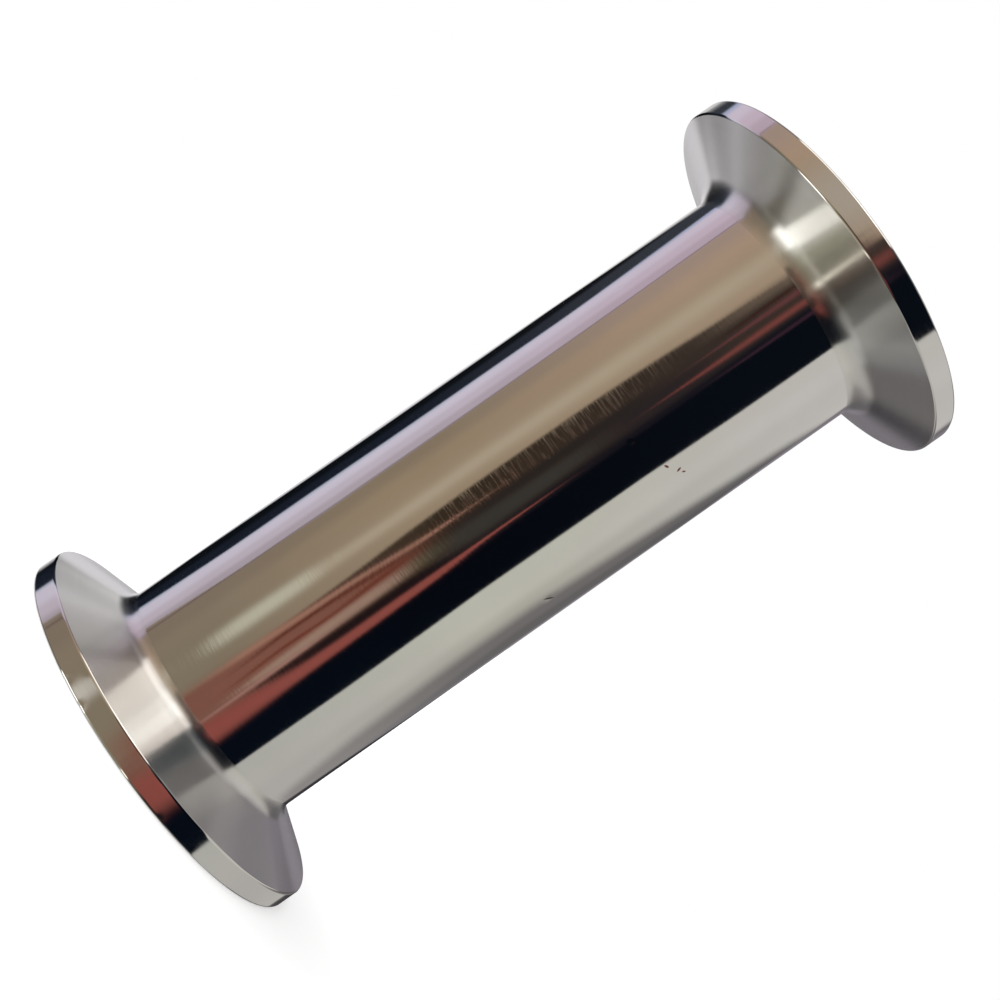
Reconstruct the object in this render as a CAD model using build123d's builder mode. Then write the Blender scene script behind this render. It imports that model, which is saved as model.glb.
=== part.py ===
"""Sanitary spool pipe: a straight stainless tube with a clamp ferrule at each end.

The ferrules are butt-welded to the tube and the seams are polished flush, so the
finished spool is one piece of metal. It is turned from one section about Z.

Frame: millimetres, +Z along the flow, origin at the centre of the lower ferrule's
sealing face, so the spool stands on that face.
"""

import os
from math import radians, tan

from build123d import *

# Overall size
overall_length = 100.0  # sealing face to sealing face

# Tube
tube_diameter = 31.8  # outside, 1 1/4 in. tube
tube_wall = 1.5

# Clamp ferrule
flange_diameter = 50.5
rim_width = 2.85  # straight cylindrical rim, measured along Z
clamp_angle = 20.0  # taper of the flange's back, from the sealing face
root_radius = 3.0  # blend between the taper and the tube
rim_edge_radius = 0.3

# Gasket groove in the sealing face, an arc in section
groove_diameter = 43.5  # at the groove's centre line
groove_width = 4.0
groove_depth = 1.5
groove_lip_radius = 0.2

# Bore edge at the sealing face
bore_edge_chamfer = 0.2

# Worked-out sizes
tube_radius = tube_diameter / 2
bore_radius = tube_radius - tube_wall
flange_radius = flange_diameter / 2
half_length = overall_length / 2
taper_rise = (flange_radius - tube_radius) * tan(radians(clamp_angle))
root_height = rim_width + taper_rise
groove_arc_radius = ((groove_width / 2) ** 2 + groove_depth**2) / (2 * groove_depth)
groove_centre_height = groove_depth - groove_arc_radius


def corners_at(sketch, radius, height, reach=0.001):
    """The corners of a section at one radius and one height above the sealing face."""
    on_radius = sketch.vertices().filter_by_position(Axis.X, radius - reach, radius + reach)
    return on_radius.filter_by_position(Axis.Y, height - reach, height + reach)


# Lower half of the wall's section: sketch X is the radius and sketch Y is the height.
with BuildSketch(Plane.XZ) as lower_section:
    with BuildLine():
        Polyline(
            (bore_radius, 0),
            (flange_radius, 0),
            (flange_radius, rim_width),
            (tube_radius, root_height),
            (tube_radius, half_length),
            (bore_radius, half_length),
            close=True,
        )
    make_face()
    fillet(corners_at(lower_section, tube_radius, root_height), root_radius)
    rim_corners = corners_at(lower_section, flange_radius, 0)
    rim_corners += corners_at(lower_section, flange_radius, rim_width)
    fillet(rim_corners, rim_edge_radius)
    chamfer(corners_at(lower_section, bore_radius, 0), bore_edge_chamfer)

    # Gasket groove, with its two lips rounded
    with Locations((groove_diameter / 2, groove_centre_height)):
        Circle(groove_arc_radius, mode=Mode.SUBTRACT)
    groove_lips = corners_at(lower_section, (groove_diameter - groove_width) / 2, 0)
    groove_lips += corners_at(lower_section, (groove_diameter + groove_width) / 2, 0)
    fillet(groove_lips, groove_lip_radius)

# The whole spool: both halves of the section, turned once about the axis
with BuildPart() as spool:
    with BuildSketch(Plane.XZ):
        add(lower_section.sketch_local)
        mirror(about=Plane.XZ.offset(-half_length))
    revolve(axis=Axis.Z)

spool.part.label = "spool"

os.makedirs("parts", exist_ok=True)
export_step(spool.part, "parts/spool.step")
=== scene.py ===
"""Dresses the sanitary spool pipe: a polished stainless tube with a clamp ferrule at each end.

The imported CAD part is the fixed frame. The spool's skin is turned again from one fine
section about +Z, with a material for each finish, and it stands for the CAD node. All
sizes are in metres, and the spool stands on the centre of its lower sealing face.
"""

import logging
import math
from dataclasses import dataclass
from enum import Enum

import bpy
import bmesh
import numpy as np
from mathutils import Matrix, Vector

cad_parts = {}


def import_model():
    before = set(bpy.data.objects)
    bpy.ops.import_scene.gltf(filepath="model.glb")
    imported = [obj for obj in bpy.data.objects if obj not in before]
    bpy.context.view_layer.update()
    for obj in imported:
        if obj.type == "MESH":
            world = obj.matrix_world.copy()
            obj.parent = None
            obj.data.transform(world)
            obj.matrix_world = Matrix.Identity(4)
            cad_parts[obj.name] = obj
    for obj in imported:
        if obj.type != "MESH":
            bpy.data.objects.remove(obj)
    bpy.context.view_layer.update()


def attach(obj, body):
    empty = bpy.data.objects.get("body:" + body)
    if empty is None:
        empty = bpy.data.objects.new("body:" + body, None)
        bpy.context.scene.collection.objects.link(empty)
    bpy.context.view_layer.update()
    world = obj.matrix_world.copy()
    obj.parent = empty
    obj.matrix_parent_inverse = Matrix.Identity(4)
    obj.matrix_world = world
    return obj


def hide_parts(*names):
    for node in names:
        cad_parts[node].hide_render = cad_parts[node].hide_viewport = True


LOG = logging.getLogger("spool")
MM = 0.001
METAL_REFLECTANCE = (0.76, 0.75, 0.73)

Colour = tuple[float, float, float]
Pair = tuple[float, float]
Array = np.ndarray
Socket = bpy.types.NodeSocket
Inputs = dict[str | int, object]


def from_hex(text: str) -> Colour:
    """Turn a six-digit screen colour into linear light."""
    parts = [int(text[i : i + 2], 16) / 255.0 for i in (0, 2, 4)]
    return tuple(c / 12.92 if c <= 0.04045 else ((c + 0.055) / 1.055) ** 2.4 for c in parts)


def lights(tones: str) -> Array:
    """Turn screen colours with spaces between them into rows of linear light."""
    return np.array([from_hex(tone) for tone in tones.split()])


def ease(value: Array, low: Array | float, high: Array | float) -> Array:
    """Rise smoothly from 0 at low to 1 at high."""
    share = np.clip((value - low) / (high - low), 0.0, 1.0)
    return share * share * (3.0 - 2.0 * share)


def mixed(first: Array, second: Array, share: Array) -> Array:
    """Mix two sets of rows, with one share of the second for each place."""
    return first * (1.0 - share[:, None]) + second * share[:, None]


@dataclass
class Wiring:
    """One node tree, with short ways to add nodes and join them."""

    tree: bpy.types.NodeTree

    def put(self, node: bpy.types.Node, inputs: Inputs) -> None:
        """Give a node's inputs their values, or link them to sockets."""
        for name, value in inputs.items():
            if isinstance(value, Socket):
                self.tree.links.new(value, node.inputs[name])
            else:
                node.inputs[name].default_value = value

    def add(self, kind: str, inputs: Inputs | None = None, **settings: object) -> bpy.types.Node:
        """Add one node.

        Args:
            kind: The node's type.
            inputs: A value or a socket for each input, by name or place.
            **settings: The node's own settings, made before its inputs.

        Returns:
            The node.
        """
        node = self.tree.nodes.new(kind)
        for name, value in settings.items():
            setattr(node, name, value)
        self.put(node, inputs or {})
        return node

    def maths(self, operation: str, *values: float | Socket) -> Socket:
        """Add a Math node on values or sockets."""
        return self.add("ShaderNodeMath", dict(enumerate(values)), operation=operation).outputs[0]

    def vector(self, operation: str, inputs: Inputs) -> Socket:
        """Add a Vector Math node whose result is a vector."""
        return self.add("ShaderNodeVectorMath", inputs, operation=operation).outputs[0]

    def length(self, vector: Socket) -> Socket:
        """Measure a vector's length."""
        node = self.add("ShaderNodeVectorMath", {0: vector}, operation="LENGTH")
        return node.outputs["Value"]

    def joined(self, **parts: Socket) -> Socket:
        """Make a vector of its X, Y and Z parts."""
        return self.add("ShaderNodeCombineXYZ", parts).outputs[0]

    def parts(self, vector: Socket) -> tuple[Socket, ...]:
        """Split a vector into its X, Y and Z parts."""
        return tuple(self.add("ShaderNodeSeparateXYZ", {0: vector}).outputs)

    def ramp(
        self, value: Socket, ends: Pair, results: Pair = (0.0, 1.0), kind: str = "SMOOTHSTEP"
    ) -> Socket:
        """Run from one result to the other between two ends.

        Args:
            value: Where to look.
            ends: Where the run starts and ends.
            results: What it gives up to its start and from its end.
            kind: How it runs.

        Returns:
            The result's socket.
        """
        names = ("Value", "From Min", "From Max", "To Min", "To Max")
        inputs = dict(zip(names, (value, *ends, *results)))
        node = self.add("ShaderNodeMapRange", inputs, interpolation_type=kind)
        return node.outputs["Result"]

    def within(self, value: Socket, ends: Pair, soft: float) -> Socket:
        """Give 1 between two ends and 0 outside, rising over a soft width inside each."""
        low, high = ends
        rise = self.ramp(value, (low, low + soft))
        return self.maths("MULTIPLY", rise, self.ramp(value, (high, high - soft)))

    def noise(self, place: Socket, scale: float = 1.0, detail: float = 2.0) -> Socket:
        """Add noise from 0 to 1."""
        inputs = {"Vector": place, "Scale": scale, "Detail": detail}
        return self.add("ShaderNodeTexNoise", inputs).outputs["Fac"]

    def strokes(self, place: Socket, length: float, pitch: float) -> Socket:
        """Add noise drawn out round the axis into strokes of a length, a pitch apart."""
        scale = (1.0 / length, 1.0 / length, 1.0 / pitch)
        stretch = self.add("ShaderNodeMapping", {"Vector": place, "Scale": scale})
        return self.noise(stretch.outputs["Vector"])

    def mix(self, share: Socket, first: object, second: object) -> Socket:
        """Mix two colours, each a value or a socket."""
        node = self.add("ShaderNodeMix", {0: share, 6: first, 7: second}, data_type="RGBA")
        return node.outputs[2]


def bare_material(name: str) -> tuple[bpy.types.Material, Wiring]:
    """Make a material with no nodes yet, and the wiring of its tree."""
    material = bpy.data.materials.new(name)
    material.use_nodes = True
    material.node_tree.nodes.clear()
    return material, Wiring(material.node_tree)


def vectors(items: bpy.types.bpy_prop_collection, name: str) -> Array:
    """Read one vector of each item as rows of three."""
    flat = np.zeros(len(items) * 3)
    items.foreach_get(name, flat)
    return flat.reshape(-1, 3)


def in_scene(name: str, data: bpy.types.ID) -> bpy.types.Object:
    """Make an object and put it in the scene."""
    made = bpy.data.objects.new(name, data)
    bpy.context.scene.collection.objects.link(made)
    return made


class Zone(Enum):
    """The finishes that the lathe and the polisher leave on the spool."""

    TUBE = "mirror_buffed_tube"
    BACK = "satin_turned_back"
    RIM = "polished_rim"
    FACE = "turned_sealing_face"
    GROOVE = "turned_gasket_groove"
    BORE = "honed_bore"


class Grain(Enum):
    """How the fine tool marks run."""

    BUFFED = "short marks round the tube"
    TURNED = "rings about the axis"


@dataclass(frozen=True)
class Scuff:
    """A patch of the tube where short buffing marks still cross the polish."""

    turn: Pair = (-12.5, -0.5)
    height: Pair = (34.0 * MM, 81.0 * MM)
    soft_turn: float = 3.0
    soft_height: float = 15.0 * MM
    length: float = 2.4 * MM
    pitch: float = 0.14 * MM
    lean: float = 0.006
    rough_marks: Pair = (0.5, 0.6)
    roughening: float = 0.13


@dataclass(frozen=True)
class Speck:
    """A small coloured spot laid into the tube's base colour; lean is in degrees away from
    upright.
    """

    azimuth: float
    height: float
    width: float
    length: float
    lean: float
    colour: str
    reach: float = 5.0 * MM
    fade: Pair = (1.1, 0.5)


@dataclass(frozen=True)
class SteelFinish:
    """One finish of the same stainless steel."""

    zone: Zone
    grain: Grain
    roughness: float
    roughness_swing: float
    anisotropy: float
    bump_depth: float
    bump_strength: float
    ring_pitch: float
    tint: Colour = METAL_REFLECTANCE
    tint_swing: float = 0.04
    cloud_scale: float = 160.0
    cloud_detail: float = 3.0
    stroke_length: float = 2.6 * MM
    grain_turn: float = 0.25
    marks_range: Pair = (0.3, 0.7)
    root_share: float = 1.0
    root_fade: Pair = (15.9 * MM, 16.4 * MM)
    scuff: Scuff | None = None
    specks: tuple[Speck, ...] = ()

    def material(self) -> bpy.types.Material:
        """Build the finish as a node material.

        Returns:
            The new material.
        """
        material = bpy.data.materials.new(self.zone.value)
        material.use_nodes = True
        wires = Wiring(material.node_tree)
        place = wires.add("ShaderNodeTexCoord").outputs["Object"]
        marks = self._marks(wires, place)
        dark, light = (
            [min(1.0, c * (1.0 + swing)) for c in self.tint] + [1.0]
            for swing in (-self.tint_swing, self.tint_swing)
        )
        base = wires.mix(wires.noise(place, self.cloud_scale, self.cloud_detail), dark, light)
        # Small dark-red and dark spots are laid into the base colour here
        for speck in self.specks:
            base = self._spotted(wires, place, base, speck)
        span = (self.roughness - self.roughness_swing, self.roughness + self.roughness_swing)
        rough = wires.ramp(marks, self.marks_range, span, "LINEAR")
        if self.root_share < 1.0:
            radius = wires.length(wires.vector("MULTIPLY", {0: place, 1: (1.0, 1.0, 0.0)}))
            share = wires.ramp(radius, self.root_fade, (self.root_share, 1.0))
            rough = wires.maths("MULTIPLY", rough, share)
        bump = {"Strength": self.bump_strength, "Distance": self.bump_depth, "Height": marks}
        normal = wires.add("ShaderNodeBump", bump).outputs["Normal"]
        if self.scuff:
            normal, more = self._scuffed(wires, place, normal, self.scuff)
            rough = wires.maths("ADD", rough, more)
        inputs = {"Metallic": 1.0, "Anisotropic": self.anisotropy, "Base Color": base}
        inputs |= {"Anisotropic Rotation": self.grain_turn, "Roughness": rough, "Normal": normal}
        wires.put(material.node_tree.nodes["Principled BSDF"], inputs)
        return material

    @staticmethod
    def _spotted(wires: Wiring, place: Socket, colour: Socket, speck: Speck) -> Socket:
        """Lay one small coloured spot over the steel's colour.

        Args:
            wires: The material's tree.
            place: The point on the spool.
            colour: The colour before.
            speck: The spot.

        Returns:
            The socket of the colour with the spot.
        """
        turn = math.radians(speck.azimuth)
        radius = SpoolSection.tube_radius
        spot = (radius * math.cos(turn), radius * math.sin(turn), speck.height)
        pose = {"Vector": place, "Location": spot}
        pose["Rotation"] = (math.radians(speck.lean), 0.0, turn)
        pose["Scale"] = (speck.reach, speck.width / 2.0, speck.length / 2.0)
        local = wires.add("ShaderNodeMapping", pose, vector_type="TEXTURE")
        share = wires.ramp(wires.length(local.outputs["Vector"]), speck.fade)
        return wires.mix(share, colour, (*from_hex(speck.colour), 1.0))

    @staticmethod
    def _scuffed(
        wires: Wiring, place: Socket, normal: Socket, scuff: Scuff
    ) -> tuple[Socket, Socket]:
        """Lean and roughen the surface along short marks inside the scuffed patch.

        Args:
            wires: The material's tree.
            place: The point on the spool.
            normal: The surface's direction before.
            scuff: The patch.

        Returns:
            The sockets of the surface's direction after, and of the roughness to add.
        """
        x, y, z = wires.parts(place)
        turn = wires.maths("ARCTAN2", y, x)
        ends = tuple(math.radians(a) for a in scuff.turn)
        side = wires.within(turn, ends, math.radians(scuff.soft_turn))
        patch = wires.maths("MULTIPLY", side, wires.within(z, scuff.height, scuff.soft_height))
        marks = wires.strokes(place, scuff.length, scuff.pitch)
        lean = wires.maths("MULTIPLY", wires.maths("SUBTRACT", marks, 0.5), scuff.lean)
        lean = wires.maths("MULTIPLY", lean, patch)
        rough = wires.maths("MULTIPLY", wires.ramp(marks, scuff.rough_marks), patch)
        left = wires.maths("MULTIPLY", wires.maths("SINE", turn), -1.0)
        along = wires.joined(X=left, Y=wires.maths("COSINE", turn))
        push = wires.vector("SCALE", {0: along, "Scale": lean})
        leaned = wires.vector("NORMALIZE", {0: wires.vector("ADD", {0: normal, 1: push})})
        return leaned, wires.maths("MULTIPLY", rough, scuff.roughening)

    def _marks(self, wires: Wiring, place: Socket) -> Socket:
        """Add the tool marks' height pattern, from 0 to 1."""
        if self.grain is Grain.BUFFED:
            return wires.strokes(place, self.stroke_length, self.ring_pitch)
        x, y, z = wires.parts(place)
        rings = wires.joined(X=wires.length(wires.joined(X=x, Y=y)), Y=z)
        return wires.noise(wires.vector("SCALE", {0: rings, "Scale": 1.0 / self.ring_pitch}))


@dataclass
class SpoolSection:
    """The half section that the spool is turned from, with the sizes of the CAD part.

    The rows and steps only say where it has points, and the margins where a finish ends.
    """

    overall_length: float = 100.0 * MM
    tube_radius: float = 15.9 * MM
    bore_radius: float = 14.4 * MM
    flange_radius: float = 25.25 * MM
    rim_width: float = 2.85 * MM
    clamp_angle: float = math.radians(20.0)
    lower_root_radius: float = 2.0 * MM
    upper_root_radius: float = 3.0 * MM
    rim_edge_radius: float = 0.3 * MM
    groove_centre: float = 21.75 * MM
    groove_half_width: float = 2.0 * MM
    groove_depth: float = 1.5 * MM
    lip: float = 0.16 * MM
    bore_chamfer: float = 0.2 * MM
    bore_rows: tuple[float, ...] = (30.0 * MM, 12.0 * MM, 3.0 * MM)
    face_rows: tuple[float, ...] = (17.0 * MM, 19.0 * MM)
    outer_face_rows: tuple[float, ...] = (24.3 * MM, 24.9 * MM)
    rim_rows: tuple[float, ...] = tuple(h * MM for h in (0.33, 0.7, 1.1, 1.5, 1.9, 2.3, 2.61))
    back_shares: tuple[float, ...] = (0.01, 0.06, 0.18, 0.34, 0.5, 0.66, 0.82, 0.94, 0.99)
    lip_shares: tuple[float, ...] = (0.0, 0.33, 0.67)
    groove_steps: int = 14
    edge_steps: int = 5
    root_steps: int = 16
    holding_gap: float = 0.03 * MM
    first_row: float = 0.15 * MM
    row_step: float = 1.5 * MM
    fine_step: float = 0.3 * MM
    fine_reach: float = 0.6 * MM
    least_step: float = 0.05 * MM
    fine_rows: tuple[float, ...] = ()
    bore_margin: float = 0.1 * MM
    rim_margin: float = 0.21 * MM
    face_margin: float = 0.1 * MM
    groove_margin: float = 0.05 * MM

    @property
    def middle(self) -> float:
        """Height of the middle of the spool."""
        return self.overall_length / 2.0

    @staticmethod
    def _rounded(start: Pair, corner: Pair, end: Pair, radius: float, steps: int) -> list[Pair]:
        """Round a corner with an arc.

        Args:
            start: A point on the run into the corner.
            corner: The sharp corner.
            end: A point on the run out of it.
            radius: The arc's radius.
            steps: How many pieces the arc has.

        Returns:
            The points of the arc.
        """
        c = Vector(corner)
        a, b = (Vector(start) - c).normalized(), (Vector(end) - c).normalized()
        half = a.angle(b) / 2.0
        centre = c + (a + b).normalized() * (radius / math.sin(half))
        first = c + a * (radius / math.tan(half)) - centre
        last = c + b * (radius / math.tan(half)) - centre
        sweep = first.angle(last)
        points = []
        for i in range(steps + 1):
            t = i / steps
            p = first * (math.sin((1 - t) * sweep) / math.sin(sweep))
            p += last * (math.sin(t * sweep) / math.sin(sweep))
            points.append(tuple(centre + p))
        return points

    def _groove(self) -> list[Pair]:
        """List the gasket groove's points, from its inner lip to its outer one."""
        half, depth, lip = self.groove_half_width, self.groove_depth, self.lip
        radius = (half * half + depth * depth) / (2.0 * depth)
        low = depth - radius
        reach = math.asin(half / radius) - lip / radius
        arc = []
        for i in range(self.groove_steps + 1):
            turn = -reach + 2.0 * reach * i / self.groove_steps
            across = self.groove_centre + radius * math.sin(turn)
            arc.append((across, low + radius * math.cos(turn)))

        def lip_points(face: Pair, wall: Pair, corner: Pair) -> list[Pair]:
            """Blend a lip from the face to the groove's wall."""
            return [
                tuple(
                    (1 - t) ** 2 * face[k] + 2 * t * (1 - t) * corner[k] + t * t * wall[k]
                    for k in (0, 1)
                )
                for t in self.lip_shares
            ]

        inner, outer = self.groove_centre - half, self.groove_centre + half
        before = lip_points((inner - lip, 0.0), arc[0], (inner, 0.0))
        after = lip_points((outer + lip, 0.0), arc[-1], (outer, 0.0))
        return before + arc + after[::-1]

    def _tube_rows(self, start: float) -> list[float]:
        """List the heights of the tube's rows below the middle, finer near each mark.

        Args:
            start: Where the tube's straight wall starts.

        Returns:
            Heights from just above start up to the middle.
        """
        coarse = np.arange(start + self.first_row, self.middle, self.row_step)
        heights = {round(h, 6) for h in coarse}
        for mark in self.fine_rows:
            low = mark if mark <= self.middle else self.overall_length - mark
            for h in np.arange(low - self.fine_reach, low + self.fine_reach, self.fine_step):
                if start < h < self.middle:
                    heights.add(round(float(h), 6))
        kept: list[float] = []
        for h in sorted(heights):
            if not kept or h - kept[-1] > self.least_step:
                kept.append(h)
        return kept

    def _corner(self) -> Pair:
        """Give the sharp corner where the ferrule's back would meet the tube."""
        reach = self.flange_radius - self.tube_radius
        return (self.tube_radius, self.rim_width + reach * math.tan(self.clamp_angle))

    def _root_end(self, root_radius: float) -> float:
        """Give the height above the face where a root of this radius meets the tube."""
        return self._corner()[1] + root_radius * math.tan((math.pi / 2.0 - self.clamp_angle) / 2.0)

    def half(self, root_radius: float) -> list[Pair]:
        """List the section below the middle, from the bore round to the tube.

        Args:
            root_radius: Radius of the blend between the ferrule and the tube.

        Returns:
            Radius and height of each point.
        """
        near, bevel = self.holding_gap, self.bore_chamfer
        rim_top, root = (self.flange_radius, self.rim_width), self._corner()
        top, bottom = (self.tube_radius, self.middle), (self.flange_radius, 0.0)
        points = [(self.bore_radius, h) for h in (*self.bore_rows, bevel + near, bevel)]
        inner = self.bore_radius + bevel
        points += [(r, 0.0) for r in (inner, inner + near, *self.face_rows)]
        points += self._groove() + [(r, 0.0) for r in self.outer_face_rows]
        points += self._rounded((0.0, 0.0), bottom, rim_top, self.rim_edge_radius, self.edge_steps)
        points += [(self.flange_radius, h) for h in self.rim_rows]
        edge = self._rounded(bottom, rim_top, root, self.rim_edge_radius, self.edge_steps)
        blend = self._rounded(rim_top, root, top, root_radius, self.root_steps)
        points += edge
        for share in self.back_shares:
            points.append(tuple(edge[-1][k] * (1 - share) + blend[0][k] * share for k in (0, 1)))
        points += blend
        return points + [(self.tube_radius, h) for h in self._tube_rows(blend[-1][1])]

    def outline(self) -> list[Pair]:
        """List the whole closed section, with its first point repeated at the end."""
        lower, upper = self.half(self.lower_root_radius), self.half(self.upper_root_radius)
        mirrored = [(r, self.overall_length - z) for r, z in reversed(upper)]
        return lower + [(self.tube_radius, self.middle)] + mirrored + [lower[0]]

    def zone_at(self, radius: float, height: float) -> Zone:
        """Tell which finish a place on the skin has.

        Args:
            radius: Distance from the axis.
            height: Height above the lower sealing face.

        Returns:
            The finish there.
        """
        end = min(height, self.overall_length - height)
        if radius < self.bore_radius + self.bore_margin:
            return Zone.BORE
        if radius > self.flange_radius - self.rim_margin:
            return Zone.RIM
        if end < self.groove_depth + self.face_margin:
            inside = abs(radius - self.groove_centre) < self.groove_half_width
            return Zone.GROOVE if inside and end > self.groove_margin else Zone.FACE
        lower = height < self.middle
        blend = self.lower_root_radius if lower else self.upper_root_radius
        return Zone.BACK if end < self._root_end(blend) else Zone.TUBE


@dataclass(frozen=True)
class Dent:
    """A small pit in the tube's wall, or a nick in a rim; azimuth is in degrees."""

    azimuth: float
    height: float
    width: float
    length: float
    depth: float


@dataclass
class SpoolSkin:
    """The whole spool as one turned skin, with its small wear."""

    section: SpoolSection
    segments: int = 392
    wave_height: float = 0.09 * MM
    wave_length: float = 20.0 * MM
    wave_seed: float = 4.0
    wave_detail: float = 1.0
    still_end: float = 10.0 * MM
    wall_margin: float = 0.01 * MM
    merge_distance: float = 0.001 * MM
    dent_reach: float = 0.4 * MM
    pits: tuple[Dent, ...] = ()
    nicks: tuple[Dent, ...] = ()
    finishes: tuple[SteelFinish, ...] = ()

    def _section_object(self) -> bpy.types.Object:
        """Make the section as a mesh of points, with how far each may sway."""
        outline = self.section.outline()
        mesh = bpy.data.meshes.new("section")
        mesh.from_pydata([(r, 0.0, z) for r, z in outline], [], [])
        sway = mesh.attributes.new("sway", "FLOAT", "POINT")
        for i, (r, z) in enumerate(outline):
            end = min(z, self.section.overall_length - z)
            free = abs(r - self.section.tube_radius) < self.wall_margin
            share = min(1.0, max(0.0, (end - self.still_end) / self.still_end))
            sway.data[i].value = share if free else 0.0
        return in_scene("spool_skin", mesh)

    def _turning_tree(self) -> bpy.types.NodeTree:
        """Build the Geometry Nodes tree that turns a section about +Z.

        Returns:
            The tree, with named inputs for its sizes.
        """
        tree = bpy.data.node_groups.new("turn_section", "GeometryNodeTree")
        inputs = {
            "Section": "Geometry",
            "Section points": "Int",
            "Segments": "Int",
            "Wave height": "Float",
            "Wave length": "Float",
            "Seed": "Float",
            "Finish": "Material",
        }
        for name, kind in inputs.items():
            tree.interface.new_socket(name, in_out="INPUT", socket_type=f"NodeSocket{kind}")
        tree.interface.new_socket("Skin", in_out="OUTPUT", socket_type="NodeSocketGeometry")
        wires = Wiring(tree)
        add, maths = wires.add, wires.maths
        given = add("NodeGroupInput").outputs
        columns = maths("ADD", given["Segments"], 1.0)
        rows = {"Vertices X": given["Section points"], "Vertices Y": columns}
        grid = add("GeometryNodeMeshGrid", rows)
        index = add("GeometryNodeInputIndex").outputs[0]
        row = maths("FLOOR", maths("DIVIDE", maths("ADD", index, 0.5), columns))
        column = maths("SUBTRACT", index, maths("MULTIPLY", row, columns))
        angle = maths("MULTIPLY", maths("DIVIDE", column, given["Segments"]), math.tau)

        def sampled(kind: str, value: Socket) -> Socket:
            """Read a value from the section at this row."""
            source = {"Geometry": given["Section"], "Value": value, "Index": row}
            return add("GeometryNodeSampleIndex", source, data_type=kind).outputs["Value"]

        spot = sampled("FLOAT_VECTOR", add("GeometryNodeInputPosition").outputs[0])
        named = add("GeometryNodeInputNamedAttribute", {"Name": "sway"}, data_type="FLOAT")
        sway = sampled("FLOAT", named.outputs["Attribute"])
        reach, _, height = wires.parts(spot)
        cosine, sine = maths("COSINE", angle), maths("SINE", angle)

        def placed(radius: Socket) -> Socket:
            """Put a radius at this column's angle and this row's height."""
            x, y = maths("MULTIPLY", radius, cosine), maths("MULTIPLY", radius, sine)
            return wires.joined(X=x, Y=y, Z=height)

        waves = {"Vector": placed(reach), "W": given["Seed"], "Detail": self.wave_detail}
        waves["Scale"] = maths("DIVIDE", 1.0, given["Wave length"])
        noise = add("ShaderNodeTexNoise", waves, noise_dimensions="4D").outputs["Fac"]
        swell = maths("MULTIPLY", maths("SUBTRACT", noise, 0.5), given["Wave height"])
        radius = maths("ADD", reach, maths("MULTIPLY", swell, sway))
        turned = {"Geometry": grid.outputs["Mesh"], "Position": placed(radius)}
        skin = add("GeometryNodeSetPosition", turned).outputs[0]
        closed = {"Geometry": skin, "Distance": self.merge_distance}
        skin = add("GeometryNodeMergeByDistance", closed).outputs[0]
        skin = add("GeometryNodeRealizeInstances", {"Geometry": skin}).outputs[0]
        dressed = {"Geometry": skin, "Material": given["Finish"]}
        add("NodeGroupOutput", {"Skin": add("GeometryNodeSetMaterial", dressed).outputs[0]})
        return tree

    def _turned(self, finish: bpy.types.Material) -> bpy.types.Object:
        """Turn the section and keep the result as a plain mesh.

        Args:
            finish: The material the tree sets.

        Returns:
            The skin's object, with no modifier left.
        """
        skin = self._section_object()
        tree = self._turning_tree()
        turning = skin.modifiers.new("turning", "NODES")
        turning.node_group = tree
        sizes = {
            "Section points": len(self.section.outline()),
            "Segments": self.segments,
            "Wave height": self.wave_height,
            "Wave length": self.wave_length,
            "Seed": self.wave_seed,
            "Finish": finish,
        }
        for item in tree.interface.items_tree:
            if item.in_out == "INPUT" and item.name in sizes:
                turning[item.identifier] = sizes[item.name]
        bpy.context.view_layer.update()
        graph = bpy.context.evaluated_depsgraph_get()
        made = bpy.data.meshes.new_from_object(skin.evaluated_get(graph))
        skin.modifiers.remove(turning)
        section, skin.data = skin.data, made
        made.name = "spool_skin"
        bpy.data.meshes.remove(section)
        return skin

    def _wear(self, mesh: bpy.types.Mesh) -> None:
        """Press the pits and nicks into the skin.

        Args:
            mesh: The skin's mesh, changed in place.
        """
        spots = vectors(mesh.vertices, "co")
        radius = np.hypot(spots[:, 0], spots[:, 1])
        turn = np.arctan2(spots[:, 1], spots[:, 0])
        press = np.zeros(len(spots))
        dents = [(pit, self.section.tube_radius) for pit in self.pits]
        dents += [(nick, self.section.flange_radius) for nick in self.nicks]
        for dent, wall in dents:
            away = np.angle(np.exp(1j * (turn - math.radians(dent.azimuth)))) * wall
            up = spots[:, 2] - dent.height
            share = np.exp(-((away / (dent.width / 2.0)) ** 2) - (up / (dent.length / 2.0)) ** 2)
            share[np.abs(radius - wall) > self.dent_reach] = 0.0
            press += share * dent.depth
        spots[:, :2] *= ((radius - press) / radius)[:, None]
        mesh.vertices.foreach_set("co", spots.ravel())
        mesh.update()

    def _zones(self, mesh: bpy.types.Mesh) -> None:
        """Give each face the material of its finish.

        Args:
            mesh: The skin's mesh, changed in place.
        """
        order = [finish.zone for finish in self.finishes]
        mesh.materials.clear()
        for finish in self.finishes:
            mesh.materials.append(finish.material())
        centres = vectors(mesh.polygons, "center")
        radius = np.hypot(centres[:, 0], centres[:, 1])
        picked = [order.index(self.section.zone_at(r, z)) for r, z in zip(radius, centres[:, 2])]
        mesh.polygons.foreach_set("material_index", picked)
        mesh.polygons.foreach_set("use_smooth", [True] * len(picked))
        mesh.update()

    def build(self) -> bpy.types.Object:
        """Turn, wear and dress the skin, and set it on the frame.

        Returns:
            The finished piece.
        """
        bare = bpy.data.materials.new("bare_steel")
        skin = self._turned(bare)
        work = bmesh.new()
        work.from_mesh(skin.data)
        bmesh.ops.recalc_face_normals(work, faces=work.faces)
        work.to_mesh(skin.data)
        work.free()
        self._wear(skin.data)
        self._zones(skin.data)
        bpy.data.materials.remove(bare)
        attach(skin, "root")
        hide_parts("spool")
        return skin


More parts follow.
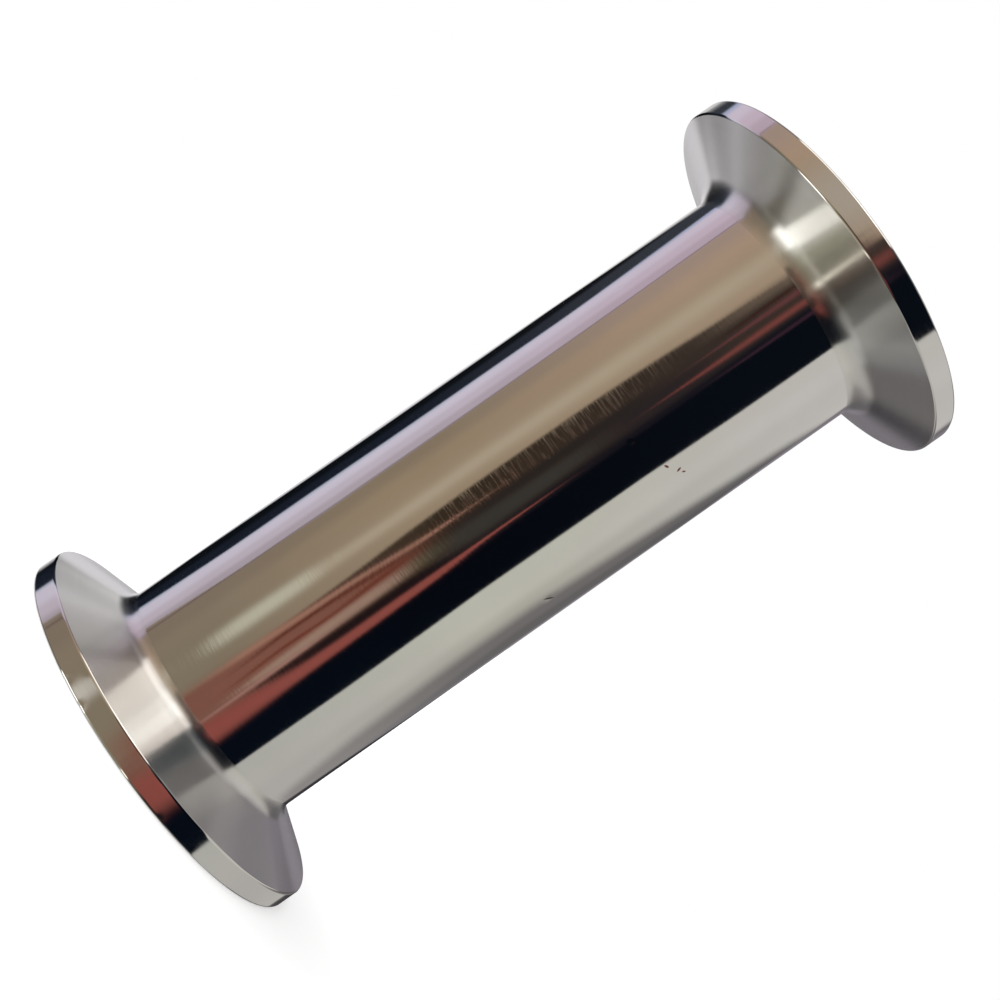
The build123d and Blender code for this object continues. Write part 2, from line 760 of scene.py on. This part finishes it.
@dataclass(frozen=True)
class Band:
    """An upright band of card, from its left edge to the next band's.

    The edge is a path of (height, turn) in degrees, and the tones are the card's
    colours low down, level and high up, as the steel shows them.
    """

    left: tuple[Pair, ...]
    tones: str
    blur: float = 0.8


@dataclass(frozen=True)
class Wedge:
    """A radial wedge of card overhead or underneath, up to a turn in degrees.

    Its three tones are what the ferrule's back shows of it: by way of the tube, in the
    root, and past the tube. Gains above 1 make the first two lamps. The wedge starts at
    a tilt, where it meets the upright bands.
    """

    until: float
    tones: str
    start: float
    blur: float = 4.0
    gains: Pair = (1.0, 1.0)


@dataclass(frozen=True)
class Streak:
    """A narrow stripe on the bands, along a path of (height, turn, width) in degrees."""

    path: tuple[tuple[float, float, float], ...]
    colour: str
    strength: float = 1.0
    blur: float = 3.0
    fade: float = 2.0


@dataclass
class Surroundings:
    """A round tent of coloured card that only the steel's reflections see.

    Places on it are given by the turn and the tilt of the steel that mirrors them
    towards +X, so that a band keeps the turn of the place on the tube that shows it.
    """

    centre_height: float = 42.7 * MM
    radius: float = 0.6
    columns: int = 1200
    rows: int = 200
    low_fade: Pair = (-15.0, 0.0)
    high_fade: Pair = (0.0, 20.0)
    root_tilts: Pair = (35.0, 41.0)
    outer_tilts: Pair = (44.0, 51.0)
    fan_blur: float = 6.0
    bands: tuple[Band, ...] = ()
    overhead: tuple[Wedge, ...] = ()
    underneath: tuple[Wedge, ...] = ()
    streaks: tuple[Streak, ...] = ()

    def _belt(self, turn: Array, height: Array) -> Array:
        """Paint the upright bands.

        Args:
            turn: Degrees of turn of the steel that mirrors each place.
            height: Degrees above the level of the tent's centre.

        Returns:
            Linear colours, one row for each place.
        """
        above_low, above_level = (ease(height, *fade) for fade in (self.low_fade, self.high_fade))

        def tone(band: Band) -> Array:
            """Blend a band's three tones by height."""
            low, level, high = lights(band.tones)
            return mixed(mixed(low, level, above_low), high, above_level)

        made = tone(self.bands[0])
        for band in self.bands[1:]:
            heights, turns = zip(*band.left)
            edge = np.interp(height, heights, turns)
            share = ease(turn, edge - band.blur / 2.0, edge + band.blur / 2.0)
            made = mixed(made, tone(band), share)
        return made

    def _fan(self, wedges: tuple[Wedge, ...], turn: Array, tilt: Array) -> tuple[Array, Array]:
        """Paint the radial wedges.

        Args:
            wedges: The wedges from left to right.
            turn: Degrees of turn of the steel that mirrors each place.
            tilt: Degrees of tilt of that steel away from upright.

        Returns:
            Linear colours, one row for each place, and how far each place is a wedge's.
        """
        rows = [
            np.append(lights(wedge.tones) * np.array([[*wedge.gains, 1.0]]).T, wedge.start)
            for wedge in wedges
        ]
        made = np.tile(rows[0], (len(turn), 1))
        for wedge, row in zip(wedges, rows[1:]):
            half = wedge.blur / 2.0
            made = mixed(made, row, ease(turn, wedge.until - half, wedge.until + half))
        by_tube, in_root, past_tube, start = np.split(made, (3, 6, 9), axis=1)
        light = mixed(by_tube, in_root, ease(tilt, *self.root_tilts))
        light = mixed(light, past_tube, ease(tilt, *self.outer_tilts))
        half = self.fan_blur / 2.0
        return light, ease(tilt, start[:, 0] - half, start[:, 0] + half)

    @staticmethod
    def _streaked(made: Array, streak: Streak, turn: Array, height: Array) -> Array:
        """Paint one stripe over the bands.

        Args:
            made: The colours so far.
            streak: The stripe.
            turn: Degrees of turn.
            height: Degrees of height.

        Returns:
            The colours with the stripe on them.
        """
        heights, turns, widths = zip(*streak.path)
        middle = np.interp(height, heights, turns)
        width = np.interp(height, heights, widths)
        share = np.exp(-(np.abs((turn - middle) / (width / 2.0)) ** streak.blur))
        share *= ease(height, heights[0] - streak.fade, heights[0] + streak.fade)
        share *= 1.0 - ease(height, heights[-1] - streak.fade, heights[-1] + streak.fade)
        return mixed(made, np.array(from_hex(streak.colour)), share * streak.strength)

    def _colours(self, ways: Array) -> Array:
        """Work out the card's light in each direction.

        Args:
            ways: Unit directions from the tent's centre.

        Returns:
            Linear colours, one row for each direction.
        """
        height = np.degrees(np.arcsin(np.clip(ways[:, 2], -1.0, 1.0)))
        forward = np.maximum(1.0 + ways[:, 0], 1e-9)
        turn = np.degrees(np.arctan2(ways[:, 1], forward))
        tilt = np.degrees(np.arctan2(ways[:, 2], np.hypot(forward, ways[:, 1])))
        made = self._belt(turn, height)
        for streak in self.streaks:
            made = self._streaked(made, streak, turn, height)
        for wedges, away in ((self.overhead, tilt), (self.underneath, -tilt)):
            light, share = self._fan(wedges, turn, away)
            made = mixed(made, light, share)
        return made / np.array(METAL_REFLECTANCE)

    def _mesh(self) -> bpy.types.Mesh:
        """Make the tent's round mesh, with its light at each point."""
        around = np.linspace(-math.pi, math.pi, self.columns + 1)
        lift = np.linspace(-math.pi / 2.0, math.pi / 2.0, self.rows + 1)
        a, e = (grid.ravel() for grid in np.meshgrid(around, lift))
        ways = np.stack([np.cos(e) * np.cos(a), np.cos(e) * np.sin(a), np.sin(e)], 1)
        spots = ways * self.radius
        spots[:, 2] += self.centre_height
        up = self.columns + 1
        corner = (np.arange(self.rows)[:, None] * up + np.arange(self.columns)).ravel()
        faces = np.stack([corner, corner + up, corner + up + 1, corner + 1], 1)
        mesh = bpy.data.meshes.new("surroundings")
        mesh.vertices.add(len(spots))
        mesh.vertices.foreach_set("co", spots.ravel())
        mesh.loops.add(faces.size)
        mesh.loops.foreach_set("vertex_index", faces.ravel())
        mesh.polygons.add(len(faces))
        mesh.polygons.foreach_set("loop_start", np.arange(len(faces)) * 4)
        mesh.update(calc_edges=True)
        light = np.ones((len(spots), 4))
        light[:, :3] = self._colours(ways)
        glow = mesh.color_attributes.new("glow", "FLOAT_COLOR", "POINT")
        glow.data.foreach_set("color", light.ravel())
        return mesh

    def build(self) -> None:
        """Make the tent, lit by its own colours."""
        mesh = self._mesh()
        material, wires = bare_material("lit_card")
        glow = wires.add("ShaderNodeAttribute", attribute_name="glow").outputs["Color"]
        shine = wires.add("ShaderNodeEmission", {"Color": glow}).outputs[0]
        wires.add("ShaderNodeOutputMaterial", {"Surface": shine})
        material.cycles.emission_sampling = "NONE"
        mesh.materials.append(material)
        tent = in_scene("surroundings", mesh)
        for ray in ("camera", "diffuse", "transmission", "volume_scatter", "shadow"):
            setattr(tent, f"visible_{ray}", False)


@dataclass
class Studio:
    """The plain floor, the pale world and the soft lamp."""

    floor_size: float = 6.0
    floor_tone: float = 0.9
    lift: float = 0.35
    world_light: float = 0.55
    sun_light: float = 1.5
    sun_spread: float = math.radians(50.0)
    sun_tip: float = math.radians(20.0)

    def _floor(self) -> None:
        """Lay the white floor, which keeps the spool's shadow."""
        half = self.floor_size / 2.0
        mesh = bpy.data.meshes.new("floor")
        corners = [(-half, -half, 0), (half, -half, 0), (half, half, 0), (-half, half, 0)]
        mesh.from_pydata(corners, [], [(0, 1, 2, 3)])
        material, wires = bare_material("white_card_floor")
        tone = (self.floor_tone,) * 3 + (1.0,)
        matt = wires.add("ShaderNodeBsdfDiffuse", {"Color": tone}).outputs[0]
        seen = wires.add("ShaderNodeLightPath").outputs["Is Camera Ray"]
        lift = wires.maths("MULTIPLY", seen, self.lift)
        shine = wires.add("ShaderNodeEmission", {"Strength": lift}).outputs[0]
        both = wires.add("ShaderNodeAddShader", {0: matt, 1: shine}).outputs[0]
        wires.add("ShaderNodeOutputMaterial", {"Surface": both})
        mesh.materials.append(material)
        floor = in_scene("floor", mesh)
        floor.visible_glossy = False

    def _world(self) -> None:
        """Set a plain world that shows white and lights softly."""
        world = bpy.data.worlds.new("pale_room")
        bpy.context.scene.world = world
        world.use_nodes = True
        world.node_tree.nodes.clear()
        wires = Wiring(world.node_tree)
        path = wires.add("ShaderNodeLightPath").outputs
        seen = path["Is Camera Ray"]
        for name in ("Is Glossy Ray", "Is Transmission Ray"):
            seen = wires.maths("MAXIMUM", seen, path[name])
        strength = wires.ramp(seen, (0.0, 1.0), (self.world_light, 1.0), "LINEAR")
        white = {"Color": (1.0, 1.0, 1.0, 1.0), "Strength": strength}
        sky = wires.add("ShaderNodeBackground", white).outputs[0]
        wires.add("ShaderNodeOutputWorld", {"Surface": sky})

    def _lamp(self) -> None:
        """Hang one soft lamp over the spool."""
        light = bpy.data.lights.new("soft_lamp", "SUN")
        light.energy = self.sun_light
        light.angle = self.sun_spread
        lamp = in_scene("soft_lamp", light)
        lamp.matrix_world = Matrix.Rotation(self.sun_tip, 4, "X")
        lamp.visible_glossy = False

    def build(self) -> None:
        """Set the stage."""
        self._floor()
        self._world()
        self._lamp()


@dataclass
class ViewCamera:
    """The camera, close to the spool and rolled so that the spool leans in the frame.

    The turns are in degrees, and the lens and the sensor are in millimetres.
    """

    place: tuple[float, float, float] = (0.17302, 0.0, 0.0427)
    yaw: float = 179.943
    pitch: float = 2.527
    roll: float = -55.095
    lens: float = 49.81
    sensor: float = 36.0
    near: float = 1.0 * MM

    def build(self) -> None:
        """Make the camera and set it as the scene's own."""
        yaw, pitch, roll = (math.radians(a) for a in (self.yaw, self.pitch, self.roll))
        ahead = math.cos(pitch)
        look = Vector((ahead * math.cos(yaw), ahead * math.sin(yaw), math.sin(pitch)))
        side = look.cross(Vector((0.0, 0.0, 1.0))).normalized()
        head = side.cross(look)
        up = head * math.cos(roll) + side * math.sin(roll)
        right = look.cross(up)
        data = bpy.data.cameras.new("view")
        data.lens = self.lens
        data.sensor_width = self.sensor
        data.clip_start = self.near
        camera = in_scene("view", data)
        turned = Matrix((right, up, -look)).transposed().to_4x4()
        camera.matrix_world = Matrix.Translation(self.place) @ turned
        bpy.context.scene.camera = camera


# Dark-red dashes, and one dark spot over the pit at 55 degrees, painted into the tube's base
# colour
SPECKS = (
    Speck(30.3, 67.8 * MM, 0.35 * MM, 0.8 * MM, -60.0, "7a4a40"),
    Speck(35.2, 68.9 * MM, 0.35 * MM, 0.8 * MM, 20.0, "7a4a42"),
    Speck(37.6, 69.3 * MM, 0.30 * MM, 0.6 * MM, -35.0, "8a5a50"),
    Speck(55.2, 48.0 * MM, 0.30 * MM, 1.7 * MM, -40.0, "2a2422"),
)

# Roughness and its swing, anisotropy, depth and strength of the bumps, pitch of the rings
FINISHES = (
    SteelFinish(Zone.TUBE, Grain.BUFFED, 0.07, 0.015, 0.4, 0.02 * MM, 0.12, 0.32 * MM,
        scuff=Scuff(), specks=SPECKS),
    SteelFinish(Zone.BACK, Grain.TURNED, 0.25, 0.02, 1.0, 0.004 * MM, 0.10, 0.09 * MM,
        root_share=0.85),
    SteelFinish(Zone.RIM, Grain.TURNED, 0.08, 0.015, 0.3, 0.004 * MM, 0.10, 0.25 * MM),
    SteelFinish(Zone.FACE, Grain.TURNED, 0.22, 0.03, 0.8, 0.004 * MM, 0.15, 0.09 * MM),
    SteelFinish(Zone.GROOVE, Grain.TURNED, 0.28, 0.04, 0.7, 0.004 * MM, 0.15, 0.09 * MM),
    SteelFinish(Zone.BORE, Grain.TURNED, 0.16, 0.03, 0.5, 0.01 * MM, 0.15, 0.30 * MM),
)

PITS = (
    Dent(55.2, 48.0 * MM, 0.9 * MM, 0.7 * MM, 0.03 * MM),
    Dent(12.2, 65.8 * MM, 0.5 * MM, 0.4 * MM, 0.045 * MM),
    Dent(-18.6, 30.8 * MM, 0.5 * MM, 0.5 * MM, 0.015 * MM),
    Dent(-51.0, 76.0 * MM, 0.5 * MM, 0.5 * MM, 0.015 * MM),
)

NICKS = (
    Dent(-25.0, 0.2 * MM, 0.9 * MM, 0.8 * MM, 0.05 * MM),
    Dent(-17.0, 0.1 * MM, 0.9 * MM, 0.9 * MM, 0.06 * MM),
    Dent(2.3, 1.4 * MM, 0.7 * MM, 3.4 * MM, 0.012 * MM),
    Dent(16.5, 0.1 * MM, 0.8 * MM, 0.7 * MM, 0.04 * MM),
    Dent(26.6, 0.2 * MM, 0.8 * MM, 0.9 * MM, 0.05 * MM),
    Dent(-24.0, 2.8 * MM, 0.9 * MM, 0.9 * MM, 0.03 * MM),
)


def straight(turn: float) -> tuple[Pair, ...]:
    """Give a band an upright edge at one turn."""
    return ((0.0, turn),)


BANDS = (
    Band(straight(-90), "c4c1c4 c6c3c5 c8c6c6"),
    Band(((-20, -76.5), (12, -77), (18, -84), (24, -90)), "0b0e12 0c0f12 131316", 3),
    Band(((-20, -66.5), (12, -67), (22, -69)), "161b25 171c26 33353c", 5),
    Band(((-19, -58.4), (-15.5, -59.6), (-10, -58), (-5, -58.8), (1, -58.3), (7, -57.9),
        (12, -57.5), (17.5, -58.5), (21, -59.2), (25, -59)), "98a0b2 a4aaba 9ea4bc", 1.6),
    Band(((-15, -58), (0, -56.8), (20, -57)), "beb7c3 c3bbc8 c2b6c4", 2.5),
    Band(straight(-51.5), "b3a8b2 b7adb8 bba9b7", 4),
    Band(straight(-46.5), "a0959c a89ca5 ae9ca8", 3),
    Band(((-15, -44.5), (-10, -42.3), (-5, -41.6), (0, -41.5), (10, -41.7), (20, -41.5)),
        "7b6d5e 81725f 9a8679", 0.9),
    Band(straight(-34.5), "7f7261 8f7d66 a08975", 7),
    Band(straight(-27), "7c705e 92806a 9c8872", 6),
    Band(((-20, 3), (-17, -7), (-5, -9.4), (-1.5, -10.8), (3, -11.3), (9, -11.2), (12.5, -10.6),
        (15.5, -9.6), (17, -8.6), (20, -7.2), (22, -6.4), (25, 1)), "6d4f43 33291f 352c27", 1.8),
    Band(((-20, 9), (20, 7.5)), "211a1b 17161a 14131a", 5),
    Band(((-20, 17), (-15, 16.2), (-10, 14.5), (-4, 12.5), (20, 11)), "060b14 05080f 080c13", 2),
    Band(((-19, 30.2), (-16, 29.3), (-9, 30), (0, 29), (10, 28.9), (15, 29.6), (22, 29)),
        "a9a8a1 b5b4a8 b7b3ad", 1),
    Band(straight(37), "aca9a3 b6b4a9 bab6b2", 8),
    Band(straight(46), "a9a6a1 a8a59b b6b3ae", 8),
    Band(((-17.2, 92), (-16, 73), (-14.6, 62.5), (-10.3, 57), (-5, 54.6), (1, 54.2), (7, 58),
        (12.4, 62), (17.5, 66.5), (20, 71), (21.8, 78), (23, 92)), "85827f 6c6867 5b5959", 11),
    Band(((-17.2, 94), (-15.5, 76), (0, 65), (10, 69), (18, 74), (23, 94)),
        "7b787a 5f5d5c 504e4f", 7),
    Band(((-17.2, 96), (-15.5, 78), (18, 78), (23, 96)), "524f52 7c777c 89838a", 3),
)

# Up to a turn, with its tones, start, blur and gains
OVERHEAD = (
    Wedge(-80.5, "a8a6a6 acaaaa b0aeae", 29, 8),
    Wedge(-72, "cccac8 dedcda e6e4e2", 29, 8),
    Wedge(-56, "7c7a7c bab8b6 c0bdba", 33, 8),
    Wedge(-46, "5a565a 827e80 b0aeaa", 34, 6),
    Wedge(-40, "5c5855 8a8083 9c9a96", 26, 4),
    Wedge(-31.8, "504c4a a09693 524f4e", 26, 1.4),
    Wedge(-19, "efe6dc f5ede5 54524f", 22, 1.5, (1.22, 1.35)),
    Wedge(-14.2, "e6e0d8 f3ede5 54524f", 22, 1.5, (1.25, 1.4)),
    Wedge(-8.5, "f3efe8 f8f3ec 54524f", 22, 1.5, (1.4, 1.4)),
    Wedge(-1.5, "f8f4ee faf6f0 54524f", 22, 1.5, (1.65, 1.4)),
    Wedge(4.2, "f0e7df ece2da 54524f", 22, 1, (1.3, 1.25)),
    Wedge(17, "38444a 9a9692 6c6968", 24, 6),
    Wedge(28, "98948f a5a29f 6c6968", 30, 5),
    Wedge(38, "9f9b97 aca7a4 625e60", 34, 5),
    Wedge(46, "807a74 8a8583 7c787a", 36, 5),
    Wedge(70, "625e62 706d70 757175", 32, 12),
    Wedge(90, "7c767c 7c767c 7c767c", 30),
)

UNDERNEATH = (
    Wedge(-80.5, "9c9a9c a09ea0 a4a2a4", 16, 8),
    Wedge(-72, "d2cfcf d8d5d5 dad7d7", 29, 8),
    Wedge(-56, "6e6c6e a4a2a1 a5a3a0", 31, 8),
    Wedge(-45, "4a484c 767274 969591", 32, 6),
    Wedge(-38, "44443e 66625c a09f98", 28, 4),
    Wedge(-28, "50524a 857f75 52524a", 26, 1.2),
    Wedge(-16.6, "fbf9f0 faf7f0 4c4c46", 24, 1, (1.65, 1.35)),
    Wedge(-12.5, "c2c3b4 d0cbbe 52524a", 24, 3),
    Wedge(-7, "92937f c0bbac 52524a", 24, 3),
    Wedge(1.7, "747464 b8b3a2 52524a", 24, 0.8),
    Wedge(3.9, "f0ead8 f4ecdc 52524a", 24, 0.9, (1.6, 1.1)),
    Wedge(9, "4f473d 857a70 52524a", 24, 3),
    Wedge(19, "35342e 6c6a62 52524a", 28, 5),
    Wedge(28, "8a8882 94928d 6d6d65", 30, 5),
    Wedge(38, "84827d c0beb9 54524f", 34, 5),
    Wedge(46, "6a6864 93938f 6f6d6b", 36, 5),
    Wedge(70, "4f4c4a 54524f 5e5b5d", 32, 12),
    Wedge(90, "302e32 343236 3c3a3e", 20),
)

STREAKS = (
    # Thin dark edge between the lilac and the tan
    Streak(((-20, -42.6, 0.9), (-9, -42.2, 0.8), (0, -41.9, 0.7), (25, -41.9, 0.7)),
        "5a4a4c", 0.7),
    # Pale streak down the tan, and its end on the lower rim
    Streak(((-12.8, -19.2, 6.6), (-10, -19.2, 6.8), (-6.8, -19.1, 6.4)), "b4b09c", 0.9, 2.6, 0.5),
    Streak(((-6.8, -18.8, 5.8), (-3, -18.7, 5.8), (4, -18.6, 6.8), (12, -18.3, 7.6),
        (22, -17.8, 8)), "a99c86", 0.75, 2.2),
    Streak(((-24, -21, 6.5), (-17.8, -20.5, 6)), "c2bcb2", 0.9, 3, 0.6),
    Streak(((23, -13, 20), (28, -13, 20)), "a0978b", 0.8, 3, 0.8),
    # Red-brown stripes that run together to a point
    Streak(((-19, -0.5, 11), (-15.5, -2, 14), (-11, -2, 14), (-6.5, -1.8, 11.5), (-4, -1.6, 8),
        (-2, -1.6, 5)), "7a5043", 0.9, 4, 1.5),
    Streak(((-13.5, -8, 2.4), (-10, -7.7, 2.6), (-7, -6.9, 2.2), (-4.9, -6.3, 1.8),
        (-2.6, -4.9, 2), (-1.2, -4.3, 1.9), (0.5, -4.2, 1.4), (2.5, -4, 0.6)),
        "99705f", 0.85, 2.4),
    Streak(((-12, -4, 1), (-10, -5.3, 1.5), (-7, -5, 1.7), (-4.9, -4, 2.2), (-2.4, -2.6, 2.6)),
        "54271b", 0.85, 2.2, 1.2),
    Streak(((-13, 0.5, 0.9), (-10, -0.8, 1.4), (-7, 0.2, 1.5), (-4.9, -1, 2.4), (-2.6, -1.5, 2)),
        "602c1f", 0.85, 2.2, 1.2),
    Streak(((-13, 3.4, 1.4), (-11, 3.3, 3.2), (-8, 3, 4.2), (-5, 2.9, 4.4), (-3, 2.7, 4.2)),
        "957a6a", 0.9, 3, 1.2),
    Streak(((-16, 5.4, 1.2), (-12.5, 5.1, 1.5), (-8, 4.9, 1)), "9d746a", 0.8, 2.2),
    Streak(((-2.6, 2.6, 4.8), (-0.8, 2.6, 5)), "4f4834", 0.85, 3, 0.8),
    # Black wedge and the solid red one beside it
    Streak(((-12.2, 6.8, 0.8), (-10, 7.7, 3.8), (-7, 7.9, 4.3), (-3, 7.9, 4), (0.2, 8.9, 2)),
        "1a1113", 0.95, 4, 1),
    Streak(((-21, 10, 13), (-16.5, 10.8, 10.6), (-13.1, 10.9, 8.8), (-10.2, 12, 5.2),
        (-7, 12.1, 4.3), (-4, 11.6, 3.7), (-1.2, 11.4, 3), (0.3, 10.9, 1.8), (2.5, 10.5, 1),
        (5.5, 10.4, 0.3)), "85473f", 1, 4),
    # Dark and grey columns in the olive
    Streak(((0.5, -0.4, 5), (7, -0.4, 5), (13, 0, 5)), "24201f", 0.8),
    Streak(((-0.6, 4.3, 8), (2, 4.5, 7.6), (5, 4.9, 5.8), (8.5, 4.9, 5)), "353431", 0.85),
    Streak(((9, 4.5, 8), (16, 4.5, 8)), "241f22", 0.8),
    Streak(((17.2, -6.6, 5), (23, -6, 5)), "66574a", 0.7, 2.4, 1.5),
    # Red lines near the upper end
    Streak(((17.6, -2.2, 1.4), (24, -2.2, 1.4)), "341a15", 0.8, 2.4, 1.5),
    Streak(((15.5, 0.4, 0.5), (18.5, 0.5, 1.6), (20.5, 0.6, 2.6), (24, 0.4, 3.2)),
        "63393a", 0.8, 2.2),
    Streak(((12.5, 5.4, 0.4), (15, 5.5, 1.4), (18.5, 5.5, 2.6), (26, 5.6, 3)), "733e39", 0.9, 2.2),
    Streak(((16, 10.8, 0.8), (20, 11, 1.6), (24, 11, 1.6)), "35222c", 0.9),
)


def main() -> None:
    """Load the frame, and build the spool and its stage."""
    logging.basicConfig(level=logging.INFO, format="%(name)s: %(message)s")
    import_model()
    ViewCamera().build()
    LOG.info("camera set")
    section = SpoolSection(fine_rows=tuple(pit.height for pit in PITS))
    skin = SpoolSkin(section=section, pits=PITS, nicks=NICKS, finishes=FINISHES).build()
    LOG.info("spool skin: %d faces, from the bore to both ferrules", len(skin.data.polygons))
    Surroundings(bands=BANDS, overhead=OVERHEAD, underneath=UNDERNEATH, streaks=STREAKS).build()
    LOG.info("reflected surroundings")
    Studio().build()
    LOG.info("floor, world and lamp")
    bpy.context.scene.view_settings.view_transform = "Standard"


if __name__ == "__main__":
    main()
